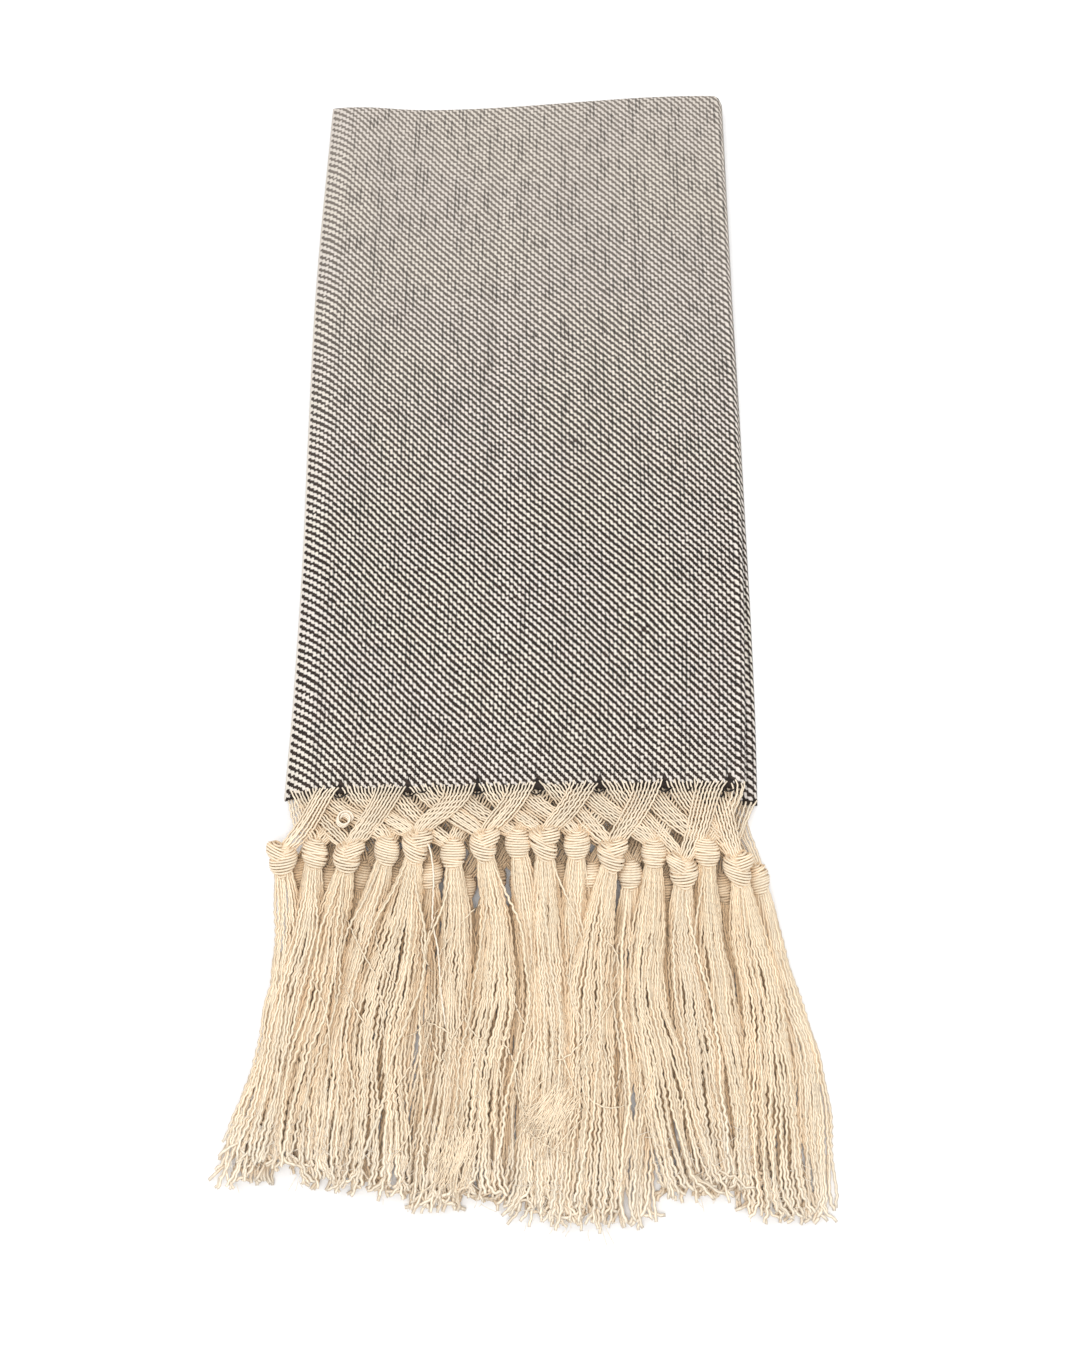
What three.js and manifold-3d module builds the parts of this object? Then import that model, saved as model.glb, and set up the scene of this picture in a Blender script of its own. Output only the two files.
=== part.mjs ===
// A handwoven hand towel, folded in half lengthwise and then crosswise, and laid flat.
// Both ends carry a fringe of crossed and knotted warp yarns, and both fringes lie at -Y.
//
// Millimetres. +X runs across the towel, +Y from the fringes to the crosswise fold, +Z up.
// Sizes below are taken from the middle of the upper hem line.

import * as THREE from 'three';
import { mergeVertices } from 'three/addons/utils/BufferGeometryUtils.js';
import Module from 'manifold-3d';

// ---------------------------------------------------------------- driving dimensions

const CLOTH = {
  thickness: 1.2,
  plyGap: 0.5, // air between the two plies of one pack
  packGap: 0.9, // air between the lower and the upper pack
  foldedWidth: 199, // selvedges to lengthwise fold
  hemLift: 1.5, // how far the knots raise the upper pack at its hem
  hemLiftLength: 45,
  waves: { height: 0.25, across: 7, along: 5 }, // unevenness of the upper pack, in radians
};

const FRINGE = {
  clearance: 0.3, // between the cloth's edge and the fringe's heading
  headingDepth: 2,
  groupPitch: 28, // warp yarns of this width of hem cross over each other
  leastBundle: 3.5, // a narrower rest of yarns at a selvedge makes no bundle
  underside: 0.1,
  combClearance: 0.25,
  outerPlyLift: 1.2, // the outer ply's knots lie on top of the inner ply's
};

const KNOT = { halfWidth: 6, halfLength: 6.3, halfHeight: 3.9, sides: 6, bands: 4 };

// Each half-bundle of yarns, from the heading (0) to the knot (1).
const BUNDLE = [
  { way: 0, thickness: 1.1 },
  { way: 1, thickness: 4 },
];

// Each tassel, from its knot (0) to its tip (1).
const TASSEL = [
  { way: 0, width: 7.5, thickness: 5 },
  { way: 0.2, width: 10, thickness: 4.6 },
  { way: 0.5, width: 12, thickness: 3.5 },
  { way: 0.85, width: 15, thickness: 2.6 },
  { way: 1, width: 12, thickness: 2 },
];

// Section of a tassel, as shares of its width and of its thickness.
const TASSEL_SECTION = [[-0.5, 0.5], [-0.25, 0], [0.25, 0], [0.5, 0.5], [0.25, 1], [-0.25, 1]];

// Side edges of a pack, from its hem (0) to the crosswise fold (1).
const SIDES = [
  { along: 0, left: -99.1, right: 99.1 },
  { along: 0.12, left: -98.6, right: 101 },
  { along: 0.27, left: -98.7, right: 102.1 },
  { along: 0.48, left: -100.4, right: 102.4 },
  { along: 0.7, left: -101.8, right: 101.4 },
  { along: 1, left: -99.9, right: 100 },
];

// The lower pack lies a little askew: its sideways shift, from its hem to the crosswise fold.
const LOWER_SHIFT = [
  { along: 0, x: 6 },
  { along: 0.12, x: 4.6 },
  { along: 0.27, x: 3 },
  { along: 0.5, x: 1.4 },
  { along: 1, x: 0 },
];

// Y of the two hems and of the crosswise fold, from the selvedge (0) to the lengthwise fold (1).
const ENDS = [
  { across: 0, upperHem: -5.5, lowerHem: -6.5, fold: 355.7 },
  { across: 0.08, upperHem: -2.4, lowerHem: -5.5, fold: 356.4 },
  { across: 0.22, upperHem: -1.4, lowerHem: -5, fold: 355 },
  { across: 0.975, upperHem: 2.5, lowerHem: -4, fold: 365.6 },
  { across: 0.99, upperHem: 2.5, lowerHem: -4, fold: 364.6 },
  { across: 1, upperHem: 2.5, lowerHem: -4, fold: 361 },
];

// Height of the surface that parts the lower fringe from the upper one.
const PARTING = [
  { y: -2, z: 3.4 },
  { y: -20, z: 8.3 },
  { y: -52, z: 8.3 },
  { y: -66, z: 5.5 },
  { y: -100, z: 4.1 },
  { y: -140, z: 3.1 },
  { y: -180, z: 2.8 },
];

// One row for each knot and its tassel. hem is the place of the knot's gap along the unfolded
// hem, from the outer ply's selvedge over the lengthwise fold to the inner ply's selvedge.
const UPPER_TASSELS = [
  { hem: 2, x: -96.8, y: -30.5, midX: -96, tipX: -108, tipY: -158 },
  { hem: 24, x: -69.3, y: -29.3, midX: -75, tipX: -82, tipY: -151 },
  { hem: 53, x: -41, y: -24.3, midX: -51, tipX: -54, tipY: -160 },
  { hem: 83, x: -12.5, y: -23.6, midX: -9, tipX: -12, tipY: -161 },
  { hem: 109, x: 12.7, y: -22.4, midX: 19, tipX: 22, tipY: -169 },
  { hem: 136, x: 41.2, y: -27.1, midX: 44, tipX: 48, tipY: -171 },
  { hem: 164, x: 70.7, y: -33.4, midX: 75, tipX: 82, tipY: -158 },
  { hem: 192, x: 93.7, y: -32.3, midX: 105, tipX: 110, tipY: -168 },
  { hem: 220, x: 80.8, y: -25.5, midX: 90, tipX: 96, tipY: -157 },
  { hem: 248, x: 58.9, y: -26.6, midX: 60, tipX: 67, tipY: -160 },
  { hem: 276, x: 26.5, y: -23, midX: 31, tipX: 35, tipY: -168 },
  { hem: 304, x: 1.7, y: -23.1, midX: 5, tipX: 7, tipY: -166 },
  { hem: 332, x: -25.5, y: -27.6, midX: -28, tipX: -31, tipY: -165 },
  { hem: 360, x: -53.3, y: -26.7, midX: -63, tipX: -68, tipY: -157 },
  { hem: 388, x: -83.5, y: -28.4, midX: -86, tipX: -95, tipY: -149 },
];

const LOWER_TASSELS = [
  { hem: 16, x: -78, y: -38, midX: -84, tipX: -94, tipY: -150 },
  { hem: 44, x: -51, y: -37, midX: -56, tipX: -64, tipY: -158 },
  { hem: 72, x: -21, y: -40, midX: -25, tipX: -30, tipY: -166 },
  { hem: 98, x: 3.5, y: -38, midX: 3, tipX: 2, tipY: -164 },
  { hem: 125, x: 33, y: -36, midX: 35, tipX: 34, tipY: -168 },
  { hem: 154, x: 62.5, y: -40, midX: 67, tipX: 72, tipY: -160 },
  { hem: 182, x: 89, y: -39, midX: 100, tipX: 106, tipY: -165 },
  { hem: 210, x: 102.6, y: -36.6, midX: 118, tipX: 122.3, tipY: -168 },
  { hem: 237, x: 76, y: -37, midX: 83, tipX: 90, tipY: -160 },
  { hem: 262, x: 49, y: -35.1, midX: 51, tipX: 53, tipY: -170 },
  { hem: 290, x: 18, y: -36, midX: 19, tipX: 18, tipY: -168 },
  { hem: 318, x: -8.5, y: -37, midX: -11, tipX: -14, tipY: -163 },
  { hem: 342, x: -35, y: -35.7, midX: -40, tipX: -47, tipY: -161 },
  { hem: 368, x: -64.5, y: -36, midX: -70, tipX: -79, tipY: -152 },
  { hem: 390, x: -90.5, y: -35, midX: -97, tipX: -108, tipY: -157 },
];

const MID_TASSEL_Y = -100;

// How finely the sections are divided.
const ACROSS = [0, 0.08, 0.22, 0.4, 0.6, 0.8, 0.92, 0.975];
const ALONG = [0, 0.04, 0.08, 0.12, 0.27, 0.48, 0.7, 0.86, 1];
const FOLD_STEPS = 4;
const BEND_STEPS = 6;
const MERGE_DISTANCE = 1e-4;

const MATERIALS = {
  cloth: { color: 0x9d9389, roughness: 0.95, metalness: 0 },
  fringe: { color: 0xeddcbd, roughness: 0.9, metalness: 0 },
};

// ---------------------------------------------------------------- derived sizes

const PACK_HALF = CLOTH.thickness + CLOTH.plyGap / 2;
const BEND_RADIUS = PACK_HALF + CLOTH.packGap / 2;
const BEND_CENTRE_Z = PACK_HALF + BEND_RADIUS;
const PLY_OFFSET = (CLOTH.thickness + CLOTH.plyGap) / 2;

// ---------------------------------------------------------------- helpers

// Reads a column of a table between its rows, by a straight line.
function lookUp(table, key, value, column) {
  const rising = table[table.length - 1][key] > table[0][key];
  const rows = rising ? table : [...table].reverse();
  const next = rows.findIndex((row) => row[key] >= value);
  if (next === 0) return rows[0][column];
  if (next < 0) return rows[rows.length - 1][column];
  const low = rows[next - 1];
  const high = rows[next];
  const share = (value - low[key]) / (high[key] - low[key]);
  return THREE.MathUtils.lerp(low[column], high[column], share);
}

// A closed body through rings of points. The first half of a ring faces its second half, so
// each end is filled by a ladder of triangles from one half to the other.
function loft(rings) {
  const size = rings[0].length;
  const points = rings.flat();
  const triangles = [];
  for (let ring = 0; ring + 1 < rings.length; ring += 1) {
    for (let i = 0; i < size; i += 1) {
      const a = ring * size + i;
      const b = ring * size + ((i + 1) % size);
      triangles.push([a, b, b + size], [a, b + size, a + size]);
    }
  }
  const last = (rings.length - 1) * size;
  for (let i = 0; i + 1 < size / 2; i += 1) {
    const [a, b, c, d] = [i, i + 1, size - 2 - i, size - 1 - i];
    triangles.push([a, c, b], [a, d, c]);
    triangles.push([last + a, last + b, last + c], [last + a, last + c, last + d]);
  }
  return solidGeometry(points, triangles);
}

// Indexed geometry of a closed body, turned so that its faces point out.
function solidGeometry(points, triangles) {
  const cross = new THREE.Vector3();
  let volume = 0;
  for (const [a, b, c] of triangles) {
    volume += cross.crossVectors(points[b], points[c]).dot(points[a]);
  }
  const outward = volume > 0 ? triangles : triangles.map(([a, b, c]) => [a, c, b]);
  const geometry = new THREE.BufferGeometry().setFromPoints(points);
  geometry.setIndex(outward.flat());
  return geometry;
}

// ---------------------------------------------------------------- cloth

// Outline of the folded pack across its length: two plies joined by the lengthwise fold.
// Each point has its place across the pack and its height over the pack's middle.
function packOutline() {
  const foldAcross = 1 - PACK_HALF / CLOTH.foldedWidth;
  const outline = [];
  const arc = (radius, from, to) => {
    for (let i = 0; i <= FOLD_STEPS; i += 1) {
      const angle = THREE.MathUtils.lerp(from, to, i / FOLD_STEPS);
      const across = foldAcross + (radius * Math.cos(angle)) / CLOTH.foldedWidth;
      outline.push({ across, height: radius * Math.sin(angle) });
    }
  };
  const quarter = Math.PI / 2;
  const inner = CLOTH.plyGap / 2;
  const back = [...ACROSS].reverse();
  outline.push(...ACROSS.map((across) => ({ across, height: -PACK_HALF })));
  arc(PACK_HALF, -quarter, quarter);
  outline.push(...back.map((across) => ({ across, height: PACK_HALF })));
  outline.push(...ACROSS.map((across) => ({ across, height: inner })));
  arc(inner, quarter, -quarter);
  outline.push(...back.map((across) => ({ across, height: -inner })));
  return outline;
}

// How far the upper pack stands over its flat height: the raised hem and the waves of the cloth.
function upperLift(across, along) {
  const length = lookUp(ENDS, 'across', across, 'fold') * along;
  const hem = 1 - THREE.MathUtils.smoothstep(length, 0, CLOTH.hemLiftLength);
  const { waves } = CLOTH;
  const wave = Math.sin(across * waves.across + along * waves.along) * Math.sin(along * Math.PI);
  return CLOTH.hemLift * hem + waves.height * Math.abs(wave);
}

// A point of the cloth: in the upper pack, around the crosswise fold, or in the lower pack.
// height is measured outwards from the pack's middle, beyond is the distance past the hem.
function packPoint(pack, across, along, height, beyond = 0) {
  const upper = pack === 'upper';
  const shift = upper ? 0 : lookUp(LOWER_SHIFT, 'along', along, 'x');
  const left = lookUp(SIDES, 'along', along, 'left');
  const right = lookUp(SIDES, 'along', along, 'right');
  const hem = lookUp(ENDS, 'across', across, upper ? 'upperHem' : 'lowerHem');
  const fold = lookUp(ENDS, 'across', across, 'fold') - BEND_RADIUS - PACK_HALF;
  const lift = upper ? upperLift(across, along) : 0;
  const outwards = upper ? 1 : -1;
  return new THREE.Vector3(
    THREE.MathUtils.lerp(left, right, across) + shift,
    THREE.MathUtils.lerp(hem, fold, along) - beyond,
    BEND_CENTRE_Z + outwards * (BEND_RADIUS + height) + lift,
  );
}

function bendPoint(across, angle, height) {
  const start = packPoint('upper', across, 1, 0);
  const radius = BEND_RADIUS + height;
  start.y += radius * Math.cos(angle);
  start.z = BEND_CENTRE_Z + radius * Math.sin(angle);
  return start;
}

function clothGeometry() {
  const outline = packOutline();
  const rings = [];
  for (const along of ALONG) {
    rings.push(outline.map((p) => packPoint('upper', p.across, along, p.height)));
  }
  for (let i = 1; i < BEND_STEPS; i += 1) {
    const angle = Math.PI * (0.5 - i / BEND_STEPS);
    rings.push(outline.map((p) => bendPoint(p.across, angle, p.height)));
  }
  for (const along of [...ALONG].reverse()) {
    rings.push(outline.map((p) => packPoint('lower', p.across, along, p.height)));
  }
  return loft(rings);
}

// ---------------------------------------------------------------- fringes

const wasm = await Module();
wasm.setup();

function toManifold(geometry) {
  const bare = geometry.clone();
  bare.deleteAttribute('normal');
  bare.deleteAttribute('uv');
  const merged = mergeVertices(bare, MERGE_DISTANCE);
  return new wasm.Manifold(new wasm.Mesh({
    numProp: 3,
    vertProperties: new Float32Array(merged.attributes.position.array),
    triVerts: new Uint32Array(merged.index.array),
  }));
}

// The outer skin of a joined body. Small hollows that its pieces close between them are filled.
function outerSkin(manifold) {
  const { vertProperties, triVerts } = manifold.getMesh();
  const owner = Array.from({ length: vertProperties.length / 3 }, (_, i) => i);
  const find = (i) => {
    while (owner[i] !== i) i = owner[i];
    return i;
  };
  for (let i = 0; i < triVerts.length; i += 3) {
    const root = find(triVerts[i]);
    owner[find(triVerts[i + 1])] = root;
    owner[find(triVerts[i + 2])] = root;
  }
  const sizes = new Map();
  triVerts.forEach((vertex) => sizes.set(find(vertex), (sizes.get(find(vertex)) ?? 0) + 1));
  const [largest] = [...sizes].sort((a, b) => b[1] - a[1])[0];
  const geometry = new THREE.BufferGeometry();
  geometry.setAttribute('position', new THREE.BufferAttribute(vertProperties, 3));
  geometry.setIndex([...triVerts].filter((vertex) => find(vertex) === largest));
  return geometry;
}

// The strip of yarns just past the cloth's edge, which follows both plies of the pack.
function headingGeometry(pack) {
  const outline = packOutline();
  const near = FRINGE.clearance;
  const far = near + FRINGE.headingDepth;
  const rings = [near, far].map((beyond) =>
    outline.map((p) => packPoint(pack, p.across, 0, p.height, beyond)));
  return loft(rings);
}

// A place on the unfolded hem, a little way into the heading.
function hemPoint(pack, place) {
  const outer = place <= CLOTH.foldedWidth;
  const across = (outer ? place : 2 * CLOTH.foldedWidth - place) / CLOTH.foldedWidth;
  const height = outer ? PLY_OFFSET : -PLY_OFFSET;
  return packPoint(pack, across, 0, height, FRINGE.clearance + FRINGE.headingDepth / 2);
}

// The lowest height that a comb's tassels and knots may have at this place.
function combFloor(pack, y) {
  if (pack === 'lower') return FRINGE.underside;
  return lookUp(PARTING, 'y', y, 'z') + FRINGE.combClearance;
}

function knotCentre(pack, row) {
  const lift = pack === 'upper' && row.hem <= CLOTH.foldedWidth ? FRINGE.outerPlyLift : 0;
  const floor = Math.max(combFloor(pack, row.y), combFloor(pack, row.y - KNOT.halfLength / 2));
  return new THREE.Vector3(row.x, row.y, floor + KNOT.halfHeight + lift);
}

function knotGeometry(centre) {
  const geometry = new THREE.SphereGeometry(1, KNOT.sides, KNOT.bands);
  geometry.rotateX(Math.PI / 2);
  geometry.scale(KNOT.halfWidth, KNOT.halfLength, KNOT.halfHeight);
  geometry.translate(centre.x, centre.y, centre.z);
  return geometry;
}

// A half-bundle from a stretch of the hem to its knot, as a narrowing flat band.
function bundleGeometry(pack, from, to, centre) {
  const [left, right] = [hemPoint(pack, from), hemPoint(pack, to)].sort((a, b) => a.x - b.x);
  const inKnot = new THREE.Vector3(KNOT.halfWidth / 2, 0, 0);
  const rings = BUNDLE.map(({ way, thickness }) => {
    const a = left.clone().lerp(centre.clone().sub(inKnot), way);
    const b = right.clone().lerp(centre.clone().add(inKnot), way);
    const up = new THREE.Vector3(0, 0, thickness / 2);
    return [a.clone().sub(up), b.clone().sub(up), b.clone().add(up), a.clone().add(up)];
  });
  return loft(rings);
}

// A tassel of loose yarns: a flattened six-sided tube that lies on what is under it.
function tasselGeometry(pack, row, lift) {
  const route = new THREE.CatmullRomCurve3([
    new THREE.Vector3(row.x, row.y, 0),
    new THREE.Vector3(row.midX, MID_TASSEL_Y, 0),
    new THREE.Vector3(row.tipX, row.tipY, 0),
  ]);
  const rings = TASSEL.map(({ way, width, thickness }) => {
    const at = route.getPointAt(way);
    const floor = combFloor(pack, at.y) + lift * (1 - way);
    return TASSEL_SECTION.map(([x, z]) =>
      new THREE.Vector3(at.x + x * width, at.y, floor + z * thickness));
  });
  return loft(rings);
}

function fringeGeometry(pack, rows) {
  const hemLength = 2 * CLOTH.foldedWidth;
  const pitch = FRINGE.groupPitch;
  const pieces = [headingGeometry(pack)];
  for (const row of rows) {
    const centre = knotCentre(pack, row);
    const lift = Math.max(0, centre.z - KNOT.halfHeight - combFloor(pack, row.y));
    pieces.push(knotGeometry(centre), tasselGeometry(pack, row, lift));
    for (const [start, end] of [[-pitch, -pitch / 2], [pitch / 2, pitch]]) {
      const from = THREE.MathUtils.clamp(row.hem + start, 0, hemLength);
      const to = THREE.MathUtils.clamp(row.hem + end, 0, hemLength);
      const overFold = from < CLOTH.foldedWidth && to > CLOTH.foldedWidth;
      const onOnePly = overFold ? CLOTH.foldedWidth : to;
      if (onOnePly - from > FRINGE.leastBundle) {
        pieces.push(bundleGeometry(pack, from, onOnePly, centre));
      }
    }
  }
  const solids = pieces.map(toManifold);
  return outerSkin(solids.reduce((whole, piece) => whole.add(piece)));
}

// ---------------------------------------------------------------- assembly

function namedMesh(name, geometry, finish) {
  const mesh = new THREE.Mesh(geometry, new THREE.MeshStandardMaterial(finish));
  mesh.name = name;
  return mesh;
}

const towel = new THREE.Group();
towel.add(namedMesh('cloth', clothGeometry(), MATERIALS.cloth));
towel.add(namedMesh('fringe_upper', fringeGeometry('upper', UPPER_TASSELS), MATERIALS.fringe));
towel.add(namedMesh('fringe_lower', fringeGeometry('lower', LOWER_TASSELS), MATERIALS.fringe));

// The origin is on the surface that the towel lies on, under the middle of the whole towel.
const extent = new THREE.Box3().setFromObject(towel);
const middle = extent.getCenter(new THREE.Vector3());
towel.position.set(-middle.x, -middle.y, -extent.min.z);

export default towel;
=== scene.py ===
# A handwoven hand towel, folded in half lengthwise and then crosswise, and laid flat: the cloth
# with its twill weave, and at both ends a comb of crossed, knotted and loose warp yarns.
#
# Lengths are millimetres in the towel's own frame: from the middle of the upper hem, +X to the
# lengthwise fold, +Y to the crosswise fold and +Z up from the floor. build() turns them into
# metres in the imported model's frame.

import math

import bpy
import numpy as np
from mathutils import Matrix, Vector


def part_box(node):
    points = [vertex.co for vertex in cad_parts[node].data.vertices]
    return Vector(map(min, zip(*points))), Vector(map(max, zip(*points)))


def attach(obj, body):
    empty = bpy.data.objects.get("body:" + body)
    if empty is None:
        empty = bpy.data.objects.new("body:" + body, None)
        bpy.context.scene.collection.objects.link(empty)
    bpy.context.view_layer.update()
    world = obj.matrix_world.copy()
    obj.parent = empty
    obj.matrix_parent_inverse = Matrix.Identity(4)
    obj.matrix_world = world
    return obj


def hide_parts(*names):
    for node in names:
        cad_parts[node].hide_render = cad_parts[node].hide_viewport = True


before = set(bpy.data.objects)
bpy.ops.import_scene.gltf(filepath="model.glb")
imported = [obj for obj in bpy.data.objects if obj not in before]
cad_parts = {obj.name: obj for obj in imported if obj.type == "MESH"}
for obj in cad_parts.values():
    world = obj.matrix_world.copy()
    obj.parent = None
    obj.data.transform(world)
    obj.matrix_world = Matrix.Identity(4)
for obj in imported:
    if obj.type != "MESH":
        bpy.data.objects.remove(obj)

MM = 0.001
TURN, QUARTER = 2 * math.pi, math.pi / 2
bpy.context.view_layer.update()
chance = np.random.default_rng(20)


# ------------ tables of the folded towel

def table(names, *rows):
    return {name: np.array(column, float) for name, column in zip(names, zip(*rows))}


def rows_of(rows):
    return [dict(zip(rows, values)) for values in zip(*rows.values())]


CLOTH_THICKNESS = 1.2
PLY_GAP = 0.5  # inside the lengthwise fold
PACK_GAP = 0.9  # inside the crosswise fold
FOLDED_WIDTH = 199.0
CLOTH_LENGTH = 730.0
HALF_LENGTH, BEND_LENGTH = CLOTH_LENGTH / 2, 6.0  # the crosswise fold takes twice BEND_LENGTH
HEM_LIFT, HEM_LIFT_LENGTH = 1.5, 45.0
WAVE_HEIGHT, WAVE_ACROSS, WAVE_ALONG = 0.25, 7.0, 5.0
FOLD_REACH = 4.5  # the lengthwise fold is pressed flat: it starts to turn this far from its edge

PLY_OFFSET = (CLOTH_THICKNESS + PLY_GAP) / 2
PACK_HALF = CLOTH_THICKNESS + PLY_GAP / 2
BEND_RADIUS = PACK_HALF + PACK_GAP / 2
BEND_CENTRE_Z = PACK_HALF + BEND_RADIUS

# Side edges of a pack, from its hem (0) to the crosswise fold (1).
SIDES = table(
    ("along", "left", "right"),
    (0, -99.1, 99.1), (0.12, -98.6, 101), (0.27, -98.7, 102.1),
    (0.48, -100.4, 102.4), (0.7, -101.8, 101.4), (1, -99.9, 100),
)
LOWER_SHIFT = table(("along", "x"), (0, 6), (0.12, 4.6), (0.27, 3), (0.5, 1.4), (1, 0))

# Y of the two hems and of the crosswise fold, from the selvedge (0) to the lengthwise fold (1).
ENDS = table(
    ("across", "upper", "lower", "fold"),
    (0, -5.5, -6.5, 355.7), (0.08, -2.4, -5.5, 356.4), (0.22, -1.4, -5, 355),
    (0.975, 2.5, -4, 365.6), (0.99, 2.5, -4, 364.6), (1, 2.5, -4, 361),
)

# Height of the surface that parts the lower fringe from the upper one.
PARTING = table(
    ("y", "z"),
    (-180, 2.8), (-140, 3.1), (-100, 4.1), (-66, 5.5), (-52, 8.3), (-20, 8.3), (-2, 3.4),
)
COMB_CLEARANCE = 0.25
OUTER_PLY_LIFT = 1.2

# One row for each knot and its tassel, read off the photograph. hem is the place of the knot's
# gap along the unfolded hem, from the outer ply's selvedge over the fold to the inner ply's. x, y
# and lift place the knot, which leans towards lean_x at Y LEAN_TO_Y. The tassel's middle line passes
# x_60, x_85 and x_110 that far before the hem. spread makes it wider, its halves lie parted that far,
# and it stands up as far as raised.
TASSEL_COLUMNS = (
    "hem", "x", "y", "lift", "lean_x", "x_60", "x_85", "x_110", "tip_x", "tip_y",
    "spread", "parted", "raised",
)
UPPER_TASSELS = table(
    TASSEL_COLUMNS,
    (2, -96.8, -30.5, 0, -96, -93.4, -94.4, -97.4, -107.5, -158, 0.75, 0, 1.2),
    (24, -69.3, -29.3, 0, -75, -74.8, -79, -83, -88.7, -151, 1.1, 0, 1.6),
    (53, -41, -24.3, 0, -51, -45.7, -50, -54, -55, -160, 1.1, 3.5, 2.4),
    (83, -12.5, -23.6, 0, -9, -7.7, -7.7, -11.4, -17.2, -161, 1.25, 0, 2.6),
    (109, 12.7, -22.4, 0, 19, 14.6, 15.5, 16.3, 17.8, -169, 1, 1.5, 1),
    (136, 41.2, -27.1, 0, 44, 34.4, 31.8, 31.2, 30.5, -171, 1.3, 1, 2.2),
    (164, 70.7, -33.4, 0, 75, 70.4, 72, 76.5, 81.9, -158, 1.1, 0, 1),
    (192, 93.7, -32.3, 0, 105, 97.5, 102.3, 103.2, 107.3, -168, 1.25, 1, 1.6),
    (220, 80.8, -25.5, 0, 90, 80.9, 84, 89.6, 94, -157, 1.1, 0, 0.4),
    (248, 58.9, -26.6, 0, 60, 56.4, 55.5, 60.5, 71.5, -160, 1.25, 0, 3.8),
    (276, 26.5, -23, 0, 31, 25.5, 24.9, 24.3, 27.4, -168, 1.1, 0, 0),
    (304, 1.7, -23.1, 0, 5, 7.6, 9.2, 8.8, 8, -166, 1.1, 0, 0.4),
    (332, -25.5, -27.6, 0, -28, -23, -22.8, -24, -28.4, -165, 1.1, 0, 1),
    (360, -53.3, -26.7, 0, -63, -60, -67, -71.8, -73, -157, 1.1, 0, 0.6),
    (388, -83.5, -28.4, 0, -86, -86, -90.5, -94.3, -102.5, -149, 1.15, 0, 2.6),
)
LOWER_TASSELS = table(
    TASSEL_COLUMNS,
    (16, -78, -38, 2.4, -84, -79, -81, -84, -92, -150, 1.2, 0, 0),
    (44, -51, -37, 2.4, -56, -53, -55, -58, -64, -158, 1.3, 0, 0),
    (72, -21, -40, 2.4, -25, -22, -24, -26, -30, -166, 1.3, 0, 0),
    (98, 3.5, -38, 2.4, 3, 3.3, 3, 2.6, 2, -164, 1.3, 0, 0),
    (125, 33, -36, 5, 35, 34, 35, 35, 34, -168, 1.3, 0, 0),
    (154, 62.5, -40, 2.4, 67, 64, 66, 68, 72, -160, 1.3, 0, 0),
    (182, 89, -39, 2.4, 100, 93, 98, 101, 106, -165, 1.4, 0, 0),
    (210, 102.6, -36.6, 4, 118, 106.8, 112.6, 118.4, 119.4, -168, 1.1, 0, 0.6),
    (237, 76, -37, 2.4, 83, 79, 82, 84, 90, -160, 1.3, 0, 0),
    (262, 49, -35.1, 6, 51, 47.8, 48.2, 49.8, 49.2, -170, 0.9, 0, 2.2),
    (290, 18, -36, 2.4, 19, 18.5, 19, 19, 18, -168, 1.3, 0, 0),
    (318, -8.5, -37, 2.4, -11, -9.5, -10.5, -11.5, -14, -163, 1.3, 0, 0),
    (342, -35, -35.7, 5, -40, -37, -39, -41, -47, -161, 1.3, 0, 0),
    (368, -64.5, -36, 2.4, -70, -66, -69, -72, -79, -152, 1.2, 0, 0),
    (390, -90.5, -35, 2.4, -97, -89, -91, -94.5, -105, -157, 1.1, 0, 0),
)
LEAN_TO_Y = -100.0
MIDDLE_LINE_AT = (110, 85, 60)

# The towel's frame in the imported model's, from the cloth's box.
cloth_low, cloth_high = (Vector(corner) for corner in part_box("cloth"))
TOWEL_ORIGIN = np.array([
    cloth_low.x - SIDES["left"].min() * MM,
    cloth_high.y - ENDS["fold"].max() * MM,
    cloth_low.z,
])


# ------------ reading the tables

def read(rows, column, at):
    """A column of a table by its first one, along a smooth curve that never overshoots its rows."""
    keys, values = rows[next(iter(rows))], rows[column]
    steps = np.diff(keys)
    rises = np.diff(values) / steps
    slopes = np.zeros(len(keys))
    before, after = rises[:-1], rises[1:]
    total = np.where(before + after == 0, 1, before + after)
    slopes[1:-1] = np.where(before * after > 0, 2 * before * after / total, 0)
    slopes[0], slopes[-1] = rises[0], rises[-1]
    at = np.clip(at, keys[0], keys[-1])
    low = np.clip(np.searchsorted(keys, at, side="right") - 1, 0, len(keys) - 2)
    step = steps[low]
    t = (at - keys[low]) / step
    return (
        (1 + 2 * t) * (1 - t) ** 2 * values[low]
        + t * (1 - t) ** 2 * step * slopes[low]
        + t * t * (3 - 2 * t) * values[low + 1]
        + t * t * (t - 1) * step * slopes[low + 1]
    )


def smooth_step(value, low, high):
    t = np.clip((value - low) / (high - low), 0, 1)
    return t * t * (3 - 2 * t)


def stacked(*columns):
    return np.stack(np.broadcast_arrays(*columns), axis=-1)


def mix(a, b, share):
    return a + (b - a) * share


def upper_lift(across, along):
    """How far the upper pack stands over its flat height: its raised hem and its waves."""
    length = read(ENDS, "fold", across) * along
    hem = 1 - smooth_step(length, 0, HEM_LIFT_LENGTH)
    wave = np.sin(across * WAVE_ACROSS + along * WAVE_ALONG) * np.sin(along * math.pi)
    return HEM_LIFT * hem + WAVE_HEIGHT * np.abs(wave)


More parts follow.
